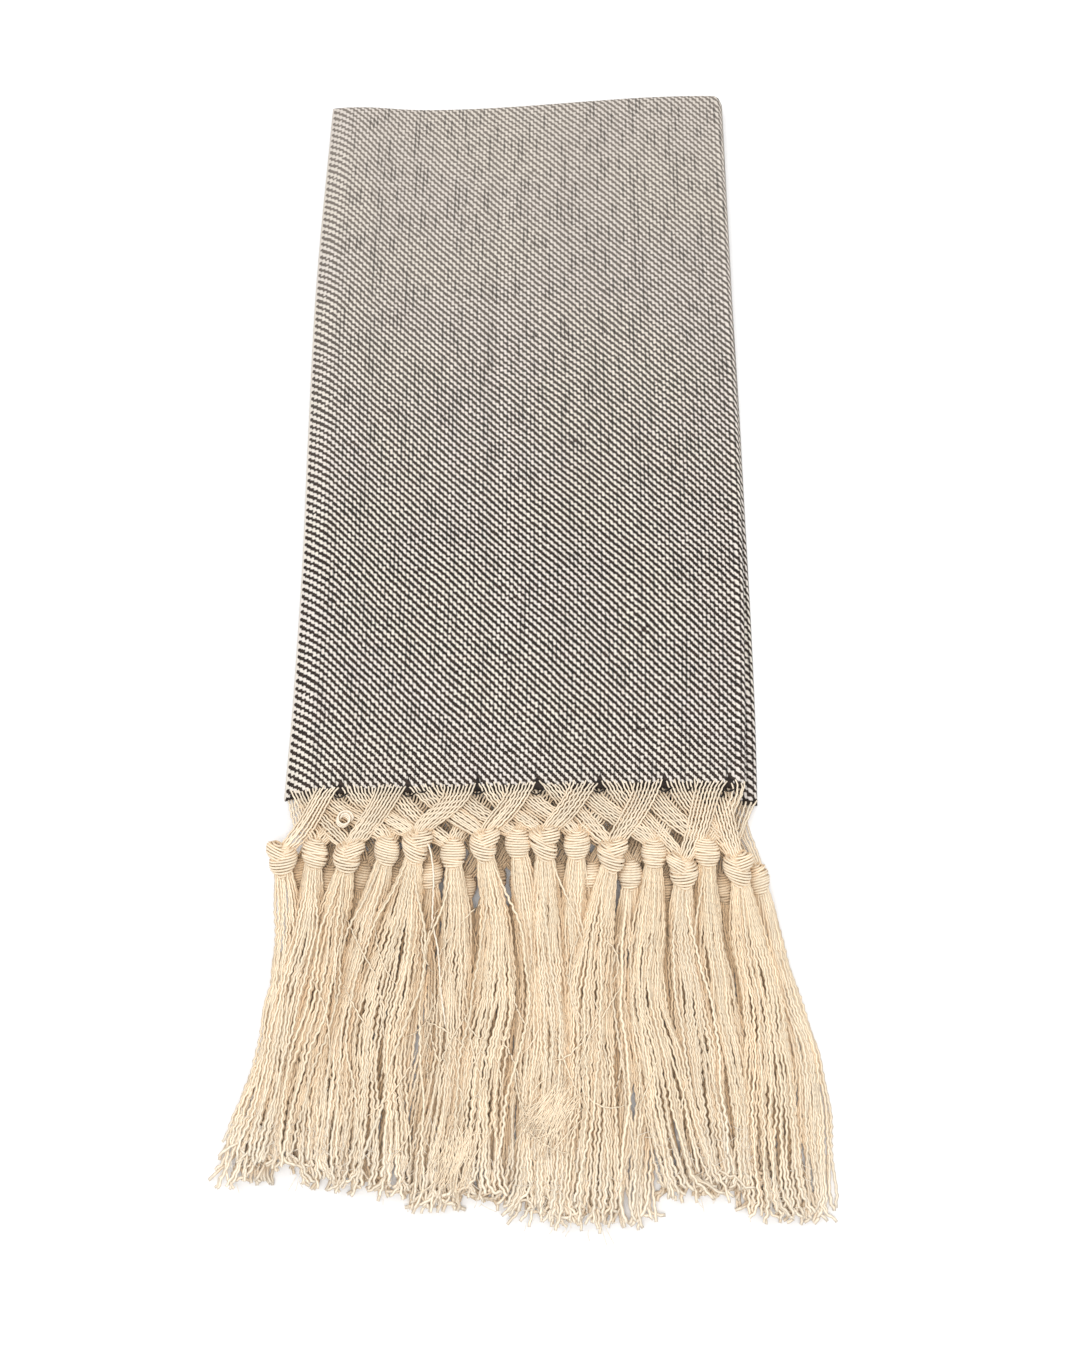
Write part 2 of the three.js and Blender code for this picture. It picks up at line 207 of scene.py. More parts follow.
def pack_point(pack, across, along, height, beyond=0.0):
    """Points of a pack. height is outwards from its middle, beyond is the way past its hem."""
    upper = pack == "upper"
    shift = 0 if upper else read(LOWER_SHIFT, "x", along)
    left, right = (read(SIDES, side, along) for side in ("left", "right"))
    hem = read(ENDS, pack, across)
    fold = read(ENDS, "fold", across) - BEND_RADIUS - PACK_HALF
    lift = upper_lift(across, along) if upper else 0
    outwards = 1 if upper else -1
    x = mix(left, right, across) + shift
    y = mix(hem, fold, along) - beyond
    z = BEND_CENTRE_Z + outwards * (BEND_RADIUS + height) + lift
    return stacked(x, y, z)


def bend_point(across, angle, height):
    """Points of the crosswise fold, from the upper pack (angle pi / 2) to the lower one."""
    start = pack_point("upper", across, 1.0, height)
    radius = BEND_RADIUS + height
    start[..., 1] += radius * np.cos(angle)
    start[..., 2] = BEND_CENTRE_Z + radius * np.sin(angle)
    return start


# ------------ meshes

def put(name, data):
    thing = bpy.data.objects.new(name, data)
    bpy.context.scene.collection.objects.link(thing)
    return thing


def build(name, points, faces, material, node, fields=(), maps=()):
    """One piece from points, arrays of faces, fields {name: vectors at points} and UV maps."""
    mesh = bpy.data.meshes.new(name)
    corners = np.concatenate([part.ravel() for part in faces])
    sizes = np.concatenate([np.full(len(part), part.shape[1]) for part in faces])
    mesh.vertices.add(len(points))
    mesh.vertices.foreach_set("co", (points * MM + TOWEL_ORIGIN).ravel())
    mesh.loops.add(len(corners))
    mesh.loops.foreach_set("vertex_index", corners.astype(np.int32))
    mesh.polygons.add(len(sizes))
    mesh.polygons.foreach_set("loop_start", (np.cumsum(sizes) - sizes).astype(np.int32))
    mesh.polygons.foreach_set("use_smooth", np.ones(len(sizes), bool))
    mesh.update(calc_edges=True)
    for key, values in dict(fields).items():
        attribute = mesh.attributes.new(key, "FLOAT_VECTOR", "POINT")
        attribute.data.foreach_set("vector", np.asarray(values, np.float32).ravel())
    for key, values in dict(maps).items():
        layer = mesh.uv_layers.new(name=key)
        layer.uv.foreach_set("vector", np.asarray(values, np.float32).ravel())
    mesh.materials.append(material)
    piece = put(name, mesh)
    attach(piece, "root")
    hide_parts(node)
    return piece


def distance_along(paths):
    length = np.linalg.norm(np.diff(paths, axis=1), axis=2)
    return np.concatenate([np.zeros((len(paths), 1)), np.cumsum(length, axis=1)], axis=1)


def unit(vectors):
    return vectors / np.maximum(np.linalg.norm(vectors, axis=-1, keepdims=True), 1e-9)


SIDE_DEPTH = 0.8  # a yarn's flanks are shaded as if they lay this much deeper
TOP_FACE = 0.3  # of a yarn's way round lies on the face that looks up
# How much a yarn's depth counts in its painted shade, below the yarns beside it and below the whole
# fringe, and how much it is painted lighter and darker with them, down to the depth given: painted
# light deep between its neighbours, painted shade below the fringe round it.
BESIDE_COUNTS, BELOW_COUNTS = 0.45, 1.9
BESIDE_LIGHTENS, BELOW_DARKENS = (0.03, 2), (0.06, 2.5)
STRIP_START, STRIP_WIDTH = 0.1, 0.8  # of a yarn's own strip in the bake map
END_MARGIN = 0.01


class Relief:
    """The height of the fringe's top on a grid: the highest nearby, and averaged over some yarns."""

    CELL = 0.8
    REACH = 13  # cells

    def __init__(self, points):
        self.low = points[:, :2].min(axis=0)
        columns, rows = self.cells(points)
        top = np.zeros((columns.max() + 1, rows.max() + 1))
        np.maximum.at(top, (columns, rows), points[:, 2])
        self.highest = top
        for shift in (-1, 1):
            for axis in (0, 1):
                self.highest = np.maximum(self.highest, np.roll(top, shift, axis))
        kernel = np.ones(self.REACH) / self.REACH
        for axis in (0, 1):
            top = np.apply_along_axis(np.convolve, axis, top, kernel, "same")
        self.average = top

    def cells(self, points):
        cells = ((points[:, :2] - self.low) / self.CELL).astype(int)
        return np.maximum(cells, 0).T

    def top(self, points):
        """The height of the yarns on top at these points."""
        columns, rows = self.cells(points.reshape(-1, 3))
        last_column, last_row = np.array(self.highest.shape) - 1
        top = self.highest[np.minimum(columns, last_column), np.minimum(rows, last_row)]
        return top.reshape(points.shape[:-1])

    def depth(self, points):
        """How far points lie below the yarns right beside them, and below the fringe round them."""
        cells = tuple(self.cells(points))
        return [np.maximum(top[cells] - points[:, 2], 0) for top in (self.highest, self.average)]


class Yarns:
    """Yarns gathered into one mesh: closed tubes along rows of points."""

    def __init__(self, sides):
        self.sides = sides
        self.points, self.looks, self.faces, self.caps = [], [], [], []
        self.wound, self.cap_wound = [], []
        self.count = 0

    def add(self, paths, radii, tone, whiteness, normals=(0, 0, 1)):
        """paths is (yarns, stations, 3); the rest is the same or smaller and is spread out."""
        yarns, stations, _ = paths.shape
        run = unit(np.gradient(paths, axis=1))
        side = unit(np.cross(run, np.broadcast_to(normals, paths.shape)))
        up = np.cross(side, run)
        angles = QUARTER + TURN * (np.arange(self.sides) - 0.5) / self.sides
        radii = np.broadcast_to(radii, (yarns, stations))[:, :, None, None]
        ring = np.cos(angles)[:, None] * side[:, :, None] + np.sin(angles)[:, None] * up[:, :, None]
        tube = paths[:, :, None] + radii * ring
        along = distance_along(paths)
        tone, whiteness = (
            np.broadcast_to(value, (yarns, stations))[..., None] for value in (tone, whiteness))
        depth = SIDE_DEPTH * (1 - np.sin(angles))
        look = stacked(tone, whiteness, depth)

        base = sum(len(part) for part in self.points)
        at = base + np.arange(yarns * stations * self.sides).reshape(yarns, stations, self.sides)
        near, far = at[:, :-1], at[:, 1:]
        turn = (np.arange(self.sides) + 1) % self.sides
        quads = stacked(near, near[:, :, turn], far[:, :, turn], far)
        self.faces.append(quads.reshape(-1, 4))
        self.caps.append(np.concatenate([at[:, 0, ::-1], at[:, -1]]))

        turned = np.array([0, *np.linspace(TOP_FACE, 1, self.sides)])
        first, then = turned[:-1], turned[1:]
        around = stacked(first, then, then, first)
        ends = stacked(along[:, :-1], along[:, :-1], along[:, 1:], along[:, 1:])[:, :, None]
        owner = self.count + np.arange(yarns)[:, None, None, None]
        self.wound.append(stacked(around, ends, owner).reshape(-1, 3))
        cap_owner = self.count + np.tile(np.arange(yarns), 2)
        cap_along = np.concatenate([along[:, 0], along[:, -1]])
        cap = stacked(first[None], cap_along[:, None], cap_owner[:, None])
        self.cap_wound.append(cap.reshape(-1, 3))

        self.points.append(tube.reshape(-1, 3))
        self.looks.append(look.reshape(-1, 3))
        self.count += yarns

    def piece(self, name, material, node, slot, relief):
        wound = np.concatenate(self.wound + self.cap_wound)
        around, along, owner = wound.T
        strip = (owner + STRIP_START + STRIP_WIDTH * around) / self.count
        atlas = stacked(strip, END_MARGIN + (1 - 2 * END_MARGIN) * along / along.max())
        strand = stacked(around, along)
        points = np.concatenate(self.points)
        look = np.concatenate(self.looks)
        # Painted shade from the relief: depth deepens the shaded tint, and the tone gets painted light
        # deep between neighbours and painted shade below the fringe round it.
        beside, below = relief.depth(points)
        look[:, 2] += BESIDE_COUNTS * beside + BELOW_COUNTS * below
        lighter, darker = (
            share * np.minimum(depth, deepest)
            for (share, deepest), depth in zip((BESIDE_LIGHTENS, BELOW_DARKENS), (beside, below)))
        look[:, 0] *= 1 + lighter - darker
        return build(
            name, points, [np.concatenate(self.faces), np.concatenate(self.caps)],
            material, node, {"look": look}, {"OFBake": atlas, "strand": strand},
        )


# ------------ cloth

ACROSS_COUNT, FOLD_COUNT = 60, 9
UPPER_COUNT, BEND_COUNT, LOWER_COUNT = 92, 10, 60
EDGE_THINNING = (0.5, 0.85)  # of the thickness, in the last two rows at an edge
ROWS_CLOSER_AT_HEM = 1.25
# Where the sheet's two faces lie on the square of its bake map.
FACE_MARGIN, FACE_STRETCH, INNER_FACE_AT = 0.02, 1.9, 0.5


def thinning(count):
    share = np.ones(count)
    share[:2] = EDGE_THINNING
    share[-2:] = EDGE_THINNING[::-1]
    return share


def pack_section(face):
    """A pack's section across its length, for one face of the cloth: (across, height, u)."""
    half = face * CLOTH_THICKNESS / 2
    flat = np.linspace(0, FOLDED_WIDTH - FOLD_REACH, ACROSS_COUNT)
    angle = np.linspace(QUARTER, -QUARTER, FOLD_COUNT + 2)[1:-1]
    turn = FOLDED_WIDTH - FOLD_REACH + (FOLD_REACH - CLOTH_THICKNESS / 2 + half) * np.cos(angle)
    width = np.concatenate([flat, turn, flat[::-1]])
    half = half * thinning(len(width))
    outward = np.concatenate([np.ones(len(flat)), np.sin(angle), -np.ones(len(flat))])
    u = np.concatenate([
        flat, FOLDED_WIDTH - FOLD_REACH * angle / QUARTER, 2 * FOLDED_WIDTH - flat[::-1]])
    return width / FOLDED_WIDTH, PLY_OFFSET * outward + half * outward, u


def cloth_face(face):
    """(rows, columns, 3) points of one face of the cloth, and their (u, v) on the flat cloth."""
    across, height, u = pack_section(face)
    middle = PLY_OFFSET * np.sign(height)
    upper = np.linspace(0, 1, UPPER_COUNT) ** ROWS_CLOSER_AT_HEM
    lower = np.linspace(1, 0, LOWER_COUNT)
    angles = np.linspace(QUARTER, -QUARTER, BEND_COUNT + 2)[1:-1]
    ends = thinning(UPPER_COUNT + BEND_COUNT + LOWER_COUNT)
    flat_length = HALF_LENGTH - BEND_LENGTH
    rows = [("upper", along) for along in upper]
    rows += [("bend", angle) for angle in angles]
    rows += [("lower", along) for along in lower]
    v = np.concatenate([
        upper * flat_length,
        HALF_LENGTH - BEND_LENGTH * angles / QUARTER,
        CLOTH_LENGTH - lower * flat_length,
    ])
    points = []
    for (part, value), share in zip(rows, ends):
        level = middle + (height - middle) * share
        if part == "bend":
            points.append(bend_point(across, value, level))
        else:
            points.append(pack_point(part, across, value, level))
    place = stacked(u[None], v[:, None])
    return np.array(points), place


def grid_faces(rows, columns, first):
    at = first + np.arange(rows * columns).reshape(rows, columns)
    quads = stacked(at[:-1, :-1], at[:-1, 1:], at[1:, 1:], at[1:, :-1])
    return at, quads.reshape(-1, 4)


def border(at):
    return np.concatenate([at[0, :-1], at[:-1, -1], at[-1, :0:-1], at[:0:-1, 0]])


def make_cloth(material):
    outer, place = cloth_face(1)
    inner, _ = cloth_face(-1)
    rows, columns, _ = outer.shape
    at_outer, outer_faces = grid_faces(rows, columns, 0)
    at_inner, inner_faces = grid_faces(rows, columns, rows * columns)
    a, b = border(at_outer), border(at_inner)
    edge = stacked(np.roll(a, -1), a, b, np.roll(b, -1))
    faces = np.concatenate([outer_faces, inner_faces[:, ::-1], edge])
    points = np.concatenate([outer.reshape(-1, 3), inner.reshape(-1, 3)])
    thread = np.concatenate([
        np.dstack([place, np.full((rows, columns), face)]).reshape(-1, 3) for face in (1, -1)])
    atlas = thread[:, :2] / (2 * CLOTH_LENGTH) + np.array([0.0, FACE_MARGIN])
    atlas[:, 0] += np.where(thread[:, 2] < 0, INNER_FACE_AT, FACE_MARGIN)
    atlas[:, 1] *= FACE_STRETCH
    return build(
        "cloth_sheet", points, [faces], material, "cloth",
        {"thread": thread}, {"OFBake": atlas[faces.ravel()]},
    )


# ------------ fringe yarns

YARN_PITCH = 1.65  # along the hem: two warp ends that have stayed together
TASSEL_YARNS = 2  # single yarns below a knot for each such pair above it
# A yarn's radius: drawn tight in a band, wound in a knot or inside it, loose, stray, and a fibre's.
BAND_YARN, KNOT_YARN, CORE_YARN, LOOSE_YARN, STRAY_RADIUS, FIBRE = 0.53, 0.64, 0.9, 0.58, 0.48, 0.13
LOWER_YARN = 1.12  # times thicker, so that no floor shows between the lower comb's yarns
LOWEST_YARN = 0.9  # over the floor, for a yarn's middle
KNOT_SIDES, TASSEL_SIDES = 4, 3
# Points along a yarn and round a knot's strand.
FINENESS = {
    "upper": {"crossing": 42, "outer": 198, "inner": 112, "wrap": 26},
    "lower": {"crossing": 20, "outer": 68, "inner": 68, "wrap": 17},
}
OPEN_LOWER_TASSELS = (210, 262)  # nothing lies over these two, so they are as fine as the upper ones
CORE_POINTS, FIBRE_POINTS, LOOSE_POINTS, WEFT_POINTS, STRAY_POINTS, CURL_POINTS = 13, 7, 30, 12, 90, 70

# Along a half-bundle, from the hem (0) to its knot (1), and along a tassel: places and values there.
BAND_RADIUS, TASSEL_RADIUS = ((0, 0.25, 1), (0.8, 1, 1.05)), ((0, 0.1, 0.9, 1), (0.85, 0.98, 1.08, 1.16))
BAND_WHITENESS, TASSEL_WHITENESS = ((0, 0.3, 1), (0.6, 0.4, 0.3)), ((0, 0.8, 1), (0.05, 0.15, 0.55))
BAND_SWING = ((0, 0.2, 0.6, 1), (0.04, 0.17, 0.18, 0.1))
WHITER = 0.15  # a whole tassel is up to this much whiter
KNOT_WHITENESS, STRAY_WHITENESS, FIBRE_WHITENESS, LOOSE_WHITENESS = 0.3, 0.8, 0.9, 0.2
# Brightness, and its scatter from yarn to yarn.
BAND_TONE, KNOT_TONE, TASSEL_TONE = (0.93, 0.04), (0.97, 0.03), (0.97, 0.045)
# COMBED_TONE is painted light: the combed-out patches are made brighter than the yarn to lift the shade
# among their fine fibres.
LOOSE_TONE, COMBED_TONE = (1.0, 0.03), (1.1, 0.03)
THICKNESS_SCATTER = 0.08

# A half-bundle: how far its yarns start inside the hem, clear of the weft, half the gap that it
# leaves in the hem, and its rise over the outer and the inner ply, in the cloth and at the hem.
INTO_CLOTH, PAST_HEM, GAP_HALF_WIDTH = (2.0, 3.8), 0.5, 2.3
RISE_IN_CLOTH, RISE_AT_HEM, RISE_ON = (0.5, -0.2), (0.6, -0.2), 0.3
RUN_DOWN, RUN_ON = 3.2, 3.5  # past the hem, straight on and towards its knot
GATHERED = ((12.5, 4.6), (8.5, 3.7))  # how far before the knot it has which half width
STEEPER, KNOT_ENTRY_WIDTH, KNOT_ENTRY_Y = 0.9, 2.4, 2.0
BAND_BULGE, BAND_DOWN, LEVEL_SCATTER, RANK_SCATTER = 1.3, 0.5, 0.1, 0.05
OVER, UNDER, ARCH_POWER = 1.6, -0.9, 1.3  # its height where it crosses its neighbour
BOW, DOUBLE_BOW = 0.6, 0.5
OUTERMOST_LOWER, DRAWN_IN = 85.0, 3.0  # the lower comb's outermost yarns are drawn inwards

# A tassel's width and thickness, from its knot (0) to its tip (1).
TASSEL_FORM = table(
    ("way", "width", "thickness"),
    (0, 4.6, 5), (0.05, 6.7, 5.2), (0.14, 10, 5.6), (0.35, 13, 5.4), (0.6, 15, 4.6),
    (0.85, 17.5, 3.8), (1, 19, 3.2),
)
SPREAD_BY = {"upper": 0.6, "lower": 0.14}  # of the way: a tassel has its whole spread from here
LAYER_STEP, LAYER_DEPTH, LAYER_SCATTER = 0.382, 0.8, 0.08  # neighbours lie at scattered depths
LONGEST, SHORTER = 1.03, (1.6, 0.028)  # a yarn's length: the longest, less a gamma distribution
# Sideways waves in a tassel, two in step and two each yarn's own: size, half waves along it.
WANDER = ((0.7, 1.7), (0.7, 3.6), (0.5, 5.3), (0.28, 11))
WANDER_SLANT, TIP_SCATTER = 1.2, 1.4
# The share of yarns that stray from their tassel, and how far: seldom where they show.
FEW_STRAYS, MANY_STRAYS, STRAY_RISE = (0.08, 5), (0.3, 7), 0.9
OUTERMOST = 75.0  # beyond this X, yarns stray only towards the middle
HOOK_START, HOOK_ALIKE, HOOK_TURN = 0.92, 0.12, 0.28  # a yarn's end curls aside, in radians
PACKED, DOMED = 1.7, 0.92  # yarns on yarns, in radii, and how round a tassel is on top
# A yarn's crimp, from the weave, is strongest where the yarn hangs free.
CRIMP = table(("way", "swing"), (0, 0.06), (0.05, 0.15), (0.1, 0.2), (0.4, 0.24), (1, 0.28))
CRIMP_LENGTH = (3.75, 3.95)
BAND_PHASE, TASSEL_PHASE = (0.8, 0.4), (1.2, 0.25)  # its slant across the yarns, and its scatter

# Where a fibre starts beside its yarn's end, how it runs and how it bends: the scatter, the middle.
FIBRE_FORM = (
    ((1.0, 3.0, 0.3), (0, 2, 0.5)), ((1.4, 2.4, 0.3), (0, -1.5, 0)), ((1.6, 1.2, 0.3), (0, 0, 0)))

# Balls of strands: a single knot, the core of each knot, and the two lobes of a double one.
KNOT_HALF_WIDTH, KNOT_HALF_LENGTH, KNOT_HALF_HEIGHT = 6.0, 6.3, 3.9
SINGLE_BALL, CORE_BALL, *LOBES = rows_of(table(
    ("side", "ahead", "up", "tilt", "sag", "half", "strands"),
    (0, 0, 0, 0, 0, 5.9, 12), (0, 0, 0, 0, 1.2, 4.6, 8),
    (-0.5, -0.9, 0, -0.3, 2, 5.4, 10), (2.3, 2, 0.9, 0.35, 0.9, 3.6, 7),
))
SINGLE_WIDTH, SECOND_LOBE_WIDTH, CORE_DEPTH, BALL_ROUND = 0.97, 4.2, 1.6, 0.92
# A knot leans this share of the way to its tassel. The rest differs from knot to knot.
KNOT_LEANS, KNOT_TILT, KNOT_SAG, KNOT_SCATTER = 0.6, 0.3, (0.8, 1.8), 0.04
STRAND_TILT_SCATTER, STRAND_RISE_SCATTER = 0.05, 0.1

# One long yarn has come loose from its knot and lies on top of the tassels.
STRAY_YARN = table(
    ("way", "x", "y", "z"),
    (0, -36.4, -23.5, 16.4), (0.08, -34.4, -28, 17.6), (0.25, -33, -40, 15.2),
    (0.42, -33.2, -54, 12.8), (0.6, -30.4, -68, 11.6), (0.8, -28.9, -83, 10.4), (1, -26.4, -98, 8.6),
)
# A few ends of yarn have curled up between two knots.
CURL_PLACE, CURL_RADII, CURL_TURNS, CURL_RISE = (-72, -14.2, 12.6), (3.5, 1.7), 1.4, 0.12
CURL_ENDS, CURL_END_STEP = (-1.2, 0, 1.2), (0.3, 0.4, 0.5)
# What lies loose on the fringe: two patches of combed-out yarn, and single yarns all over.
LOOSE = table(
    ("x", "y", "half_width", "half_length", "turn", "uneven", "length", "radius", "swing", "count"),
    (16.5, -130, 9, 10, -31, 9, 19, 0.3, 0, 70), (-21, -147, 8, 9, -16, 9, 19, 0.3, 0, 52),
    (0, -100, 75, 42, 0, 22, 26, 0.42, 0.22, 60),
)
LOOSE_BEND = 30  # degrees

# Bits of dark weft past the hem: their place along it, half length and sag, and those in the gaps.
STRAY_WEFTS = (
    (166, 2.2, 1), (174, 1.6, 2), (181, 1.8, 4.5), (189, 1.5, 4.6), (60, 2, 0.8), (99, 1.8, 0.7))
GAP_WEFT, FIRST_GAP = (3.6, 2.4), 10
HEM_TO_WEFT, WEFT_LIFT, WEFT_RADIUS, WEFT_PLACE = -0.3, 1.3, 0.38, 30.0


def comb_floor(pack, y):
    if pack == "lower":
        return np.full(np.shape(y), 0.1)
    return read(PARTING, "z", y) + COMB_CLEARANCE


def knot_centre(pack, row):
    lift = row["lift"]
    if pack == "upper" and row["hem"] <= FOLDED_WIDTH:
        lift = lift + OUTER_PLY_LIFT
    floor = comb_floor(pack, np.array([row["y"], row["y"] - KNOT_HALF_LENGTH / 2])).max()
    return np.array([row["x"], row["y"], floor + KNOT_HALF_HEIGHT + lift])


def hem_points(pack, place, beyond):
    """Points of the hem's plies at these places along the unfolded hem, past the hem by beyond."""
    reach = FOLDED_WIDTH - FOLD_REACH
    past = np.clip((place - reach) / (2 * FOLD_REACH), 0, 1)
    angle = QUARTER - math.pi * past
    over = np.minimum(place, 2 * FOLDED_WIDTH - place)
    width = np.where((past > 0) & (past < 1), reach + FOLD_REACH * np.cos(angle), over)
    return pack_point(pack, width / FOLDED_WIDTH, 0.0, PLY_OFFSET * np.sin(angle), beyond)


def half_bundles(rows):
    """Each knot's row, and the halves of the hem's stretches on either side that reach it.

    A half is (its start, its end, the stretch's start, the stretch's end).
    """
    knots = rows["hem"]
    hems = [0.0, *knots, 2 * FOLDED_WIDTH]
    splits = [knots[0], *((knots[:-1] + knots[1:]) / 2), knots[-1]]
    halves = []
    for i, row in enumerate(rows_of(rows)):
        before, here, after = hems[i:i + 3]
        under = (before, splits[i], before, here)
        halves.append((row, under, (splits[i + 1], after, here, after)))
    return halves


def crimped(paths, swing, phase):
    """The paths with the small waves that the weave has left in the yarns, side by side alike."""
    own, along = (len(paths), 1), distance_along(paths)

    def sway(lengths, size=None):
        return np.sin(along / chance.uniform(*lengths, size) + chance.uniform(0, 6, size))

    side = unit(np.cross(unit(np.gradient(paths, axis=1)), [0, 0, 1.0]))
    drift = sway((7, 12)) + 0.3 * sway((7, 13), own)
    turn = phase + drift + TURN * along / chance.uniform(*CRIMP_LENGTH)
    uneven = 0.95 + 0.3 * sway((4, 6)) + 0.25 * sway((4, 8), own)
    wave = np.sin(turn) + 0.25 * np.sin(2 * turn + phase)
    sideways = (swing * uneven * wave)[..., None] * side
    upwards = np.zeros_like(paths)
    upwards[..., 2] = 0.3 * swing * np.cos(turn + 0.6)
    return paths + sideways + upwards


def crimp_phase(rank, slant, scatter):
    return chance.uniform(0, TURN) + slant * rank + chance.normal(0, scatter, rank.shape)


def crossing_paths(pack, row, half, over):
    """Yarns from the hem to their knot, through the crossing of two half-bundles."""
    first, last, stretch_start, stretch_end = half
    count = int(round((last - first) / YARN_PITCH))
    if count < 2:
        return None
    place = first + (np.arange(count) + 0.5) * (last - first) / count
    middle = (stretch_start + stretch_end) / 2
    drawn = middle + (place - middle) * (1 - 2 * GAP_HALF_WIDTH / (stretch_end - stretch_start))
    knot = knot_centre(pack, row)
    outer_ply = place <= FOLDED_WIDTH
    start = hem_points(pack, place, -chance.uniform(*INTO_CLOTH, count))
    start[:, 2] += np.where(outer_ply, *RISE_IN_CLOTH)
    edge = hem_points(pack, drawn, PAST_HEM)
    edge[:, 2] += np.where(outer_ply, *RISE_AT_HEM)
    rank = edge[:, 0] - edge[:, 0].mean()
    rank = rank / max(np.abs(rank).max(), 1e-6)
    way = unit(knot - edge.mean(axis=0))
    steep = unit(way + np.array([0, -STEEPER, 0]))
    across = np.array([-way[1], way[0], 0])
    layer = BAND_BULGE * (1 - rank ** 2) - BAND_DOWN + chance.normal(0, LEVEL_SCATTER, count)
    spread = (rank + chance.normal(0, RANK_SCATTER, count))[:, None]
    onwards = edge + np.array([0, -RUN_DOWN, 0]) + way * RUN_ON
    onwards[:, 2] = edge[:, 2] + RISE_ON
    controls = [start, edge, onwards]
    for direction, (distance, half_width) in zip((way, steep), GATHERED):
        controls.append(knot - direction * distance + across * spread * half_width)
    controls.append(knot + stacked(rank * KNOT_ENTRY_WIDTH, KNOT_ENTRY_Y, layer))
    degree = len(controls) - 1
    share = np.linspace(0, 1, FINENESS[pack]["crossing"])[None]
    t = share[..., None]
    paths = sum(
        math.comb(degree, i) * t ** i * (1 - t) ** (degree - i) * control[:, None]
        for i, control in enumerate(controls))
    arch = np.sin(math.pi * share) ** ARCH_POWER
    paths[..., 2] += arch * ((OVER if over else UNDER) + layer[:, None])
    inwards = DRAWN_IN if pack == "lower" and abs(row["x"]) > OUTERMOST_LOWER else 0
    bow = (chance.normal(0, BOW) - inwards * np.sign(row["x"])) * np.sin(math.pi * share)
    bow = bow + chance.normal(0, DOUBLE_BOW) * np.sin(TURN * share)
    paths = paths + bow[..., None] * across
    return crimped(paths, np.interp(share, *BAND_SWING), crimp_phase(rank[:, None], *BAND_PHASE))


def middle_line(row, y):
    """X of a tassel's middle line at these Y."""
    line = table(
        ("y", "x"),
        (row["tip_y"], row["tip_x"]), *((-at, row[f"x_{at}"]) for at in MIDDLE_LINE_AT),
        (row["y"], row["x"]),
    )
    return read(line, "x", y)


def tassel_paths(pack, row, count, stations):
    """Loose yarns from inside the knot to their ragged tips."""
    knot = knot_centre(pack, row)
    lift = knot[2] - KNOT_HALF_HEIGHT - comb_floor(pack, row["y"])
    own = (count, 1)
    order = np.arange(count)
    rank = (2 * (order + 0.5) / count - 1)[:, None]
    place = rank + chance.normal(0, 0.5 / count, own)
    layer = (order * LAYER_STEP % 1.0)[:, None] * LAYER_DEPTH + chance.normal(0, LAYER_SCATTER, own)

    way = np.linspace(0, 1, stations)[None] * (LONGEST - chance.gamma(*SHORTER, own))
    centre = np.zeros((*way.shape, 3))
    centre[..., 1] = mix(row["y"] + 1.5, row["tip_y"], way)
    centre[..., 0] = middle_line(row, centre[..., 1])
    side = np.cross(unit(np.gradient(centre, axis=1)), [0, 0, 1.0])

    spread = mix(1, row["spread"], smooth_step(way, 0.0, SPREAD_BY[pack]))
    width = read(TASSEL_FORM, "width", way) * spread
    thickness = read(TASSEL_FORM, "thickness", way)
    sway = chance.uniform(0, TURN, 2)
    starts = (sway[0], sway[1] + WANDER_SLANT * rank, *chance.uniform(0, TURN, (2, *own)))
    wander = sum(
        size * np.sin(waves * math.pi * way + start) for (size, waves), start in zip(WANDER, starts))
    wander = wander + chance.normal(0, TIP_SCATTER, own) * way ** 3
    hidden = pack == "lower" and abs(row["x"]) <= OUTERMOST
    strays, astray = MANY_STRAYS if hidden else FEW_STRAYS
    is_stray = chance.uniform(0, 1, own) < strays
    aside = chance.normal(0, astray, own)
    if abs(row["x"]) > OUTERMOST:
        aside = np.sign(row["x"]) * np.abs(aside)
    stray = is_stray * aside * np.sin(math.pi * way * chance.uniform(0.7, 1.3, own))
    clump = chance.uniform(0.6, 1.4) * np.sin(7 * rank + sway[0]) * way ** 2
    halves = row["parted"] * np.tanh(2 * rank) * smooth_step(way, 0.0, 0.45)
    loose = smooth_step(way, 0, 0.3)
    offset = place * width / 2 + halves + (wander + stray + clump) * loose
    hooked = np.clip((way - HOOK_START) / (1 - HOOK_START), 0, 1.3)
    turn = (chance.normal(0, HOOK_ALIKE) + chance.normal(0, HOOK_TURN, own)) * hooked ** 1.4
    reach = hooked * (1 - HOOK_START) * (row["y"] - row["tip_y"])
    offset = offset + reach * np.sin(turn)
    paths = centre + side * offset[..., None]
    paths[..., 1] += reach * (1 - np.cos(turn))

    step = PACKED * LOOSE_YARN
    close = np.clip(1.5 - width / count / step, 0, 0.95)
    dome = np.sqrt(np.maximum(1 - DOMED * place ** 2, 0.05))
    free_level = thickness * dome - LOOSE_YARN - layer * close * step
    free_level = np.maximum(free_level, LOOSE_YARN) + STRAY_RISE * is_stray
    floor = comb_floor(pack, paths[..., 1]) + lift * (1 - way) ** 2
    floor = floor + row["raised"] * smooth_step(way, 0.05, 0.4) * (1 - 0.4 * way)
    knot_level = knot[2] + 1.6 - layer * 1.6
    paths[..., 2] = mix(knot_level, floor + free_level, smooth_step(way, 0.02, 0.16))
    phase = crimp_phase(rank, *TASSEL_PHASE)
    paths = crimped(paths, read(CRIMP, "swing", way), phase)
    paths[..., 2] = np.maximum(paths[..., 2], LOWEST_YARN)
    return paths


def fibres(ends):
    """Fine loose fibres round these ends of yarn, which have come untwisted."""
    start, run, bent = (
        chance.normal(0, 1, ends.shape) * scatter + middle for scatter, middle in FIBRE_FORM)
    share = np.linspace(0, 1, FIBRE_POINTS)[None, :, None]
    paths = (ends + start)[:, None] + share * run[:, None] + share ** 2 * bent[:, None]
    paths[..., 2] = np.maximum(paths[..., 2], FIBRE)
    return paths


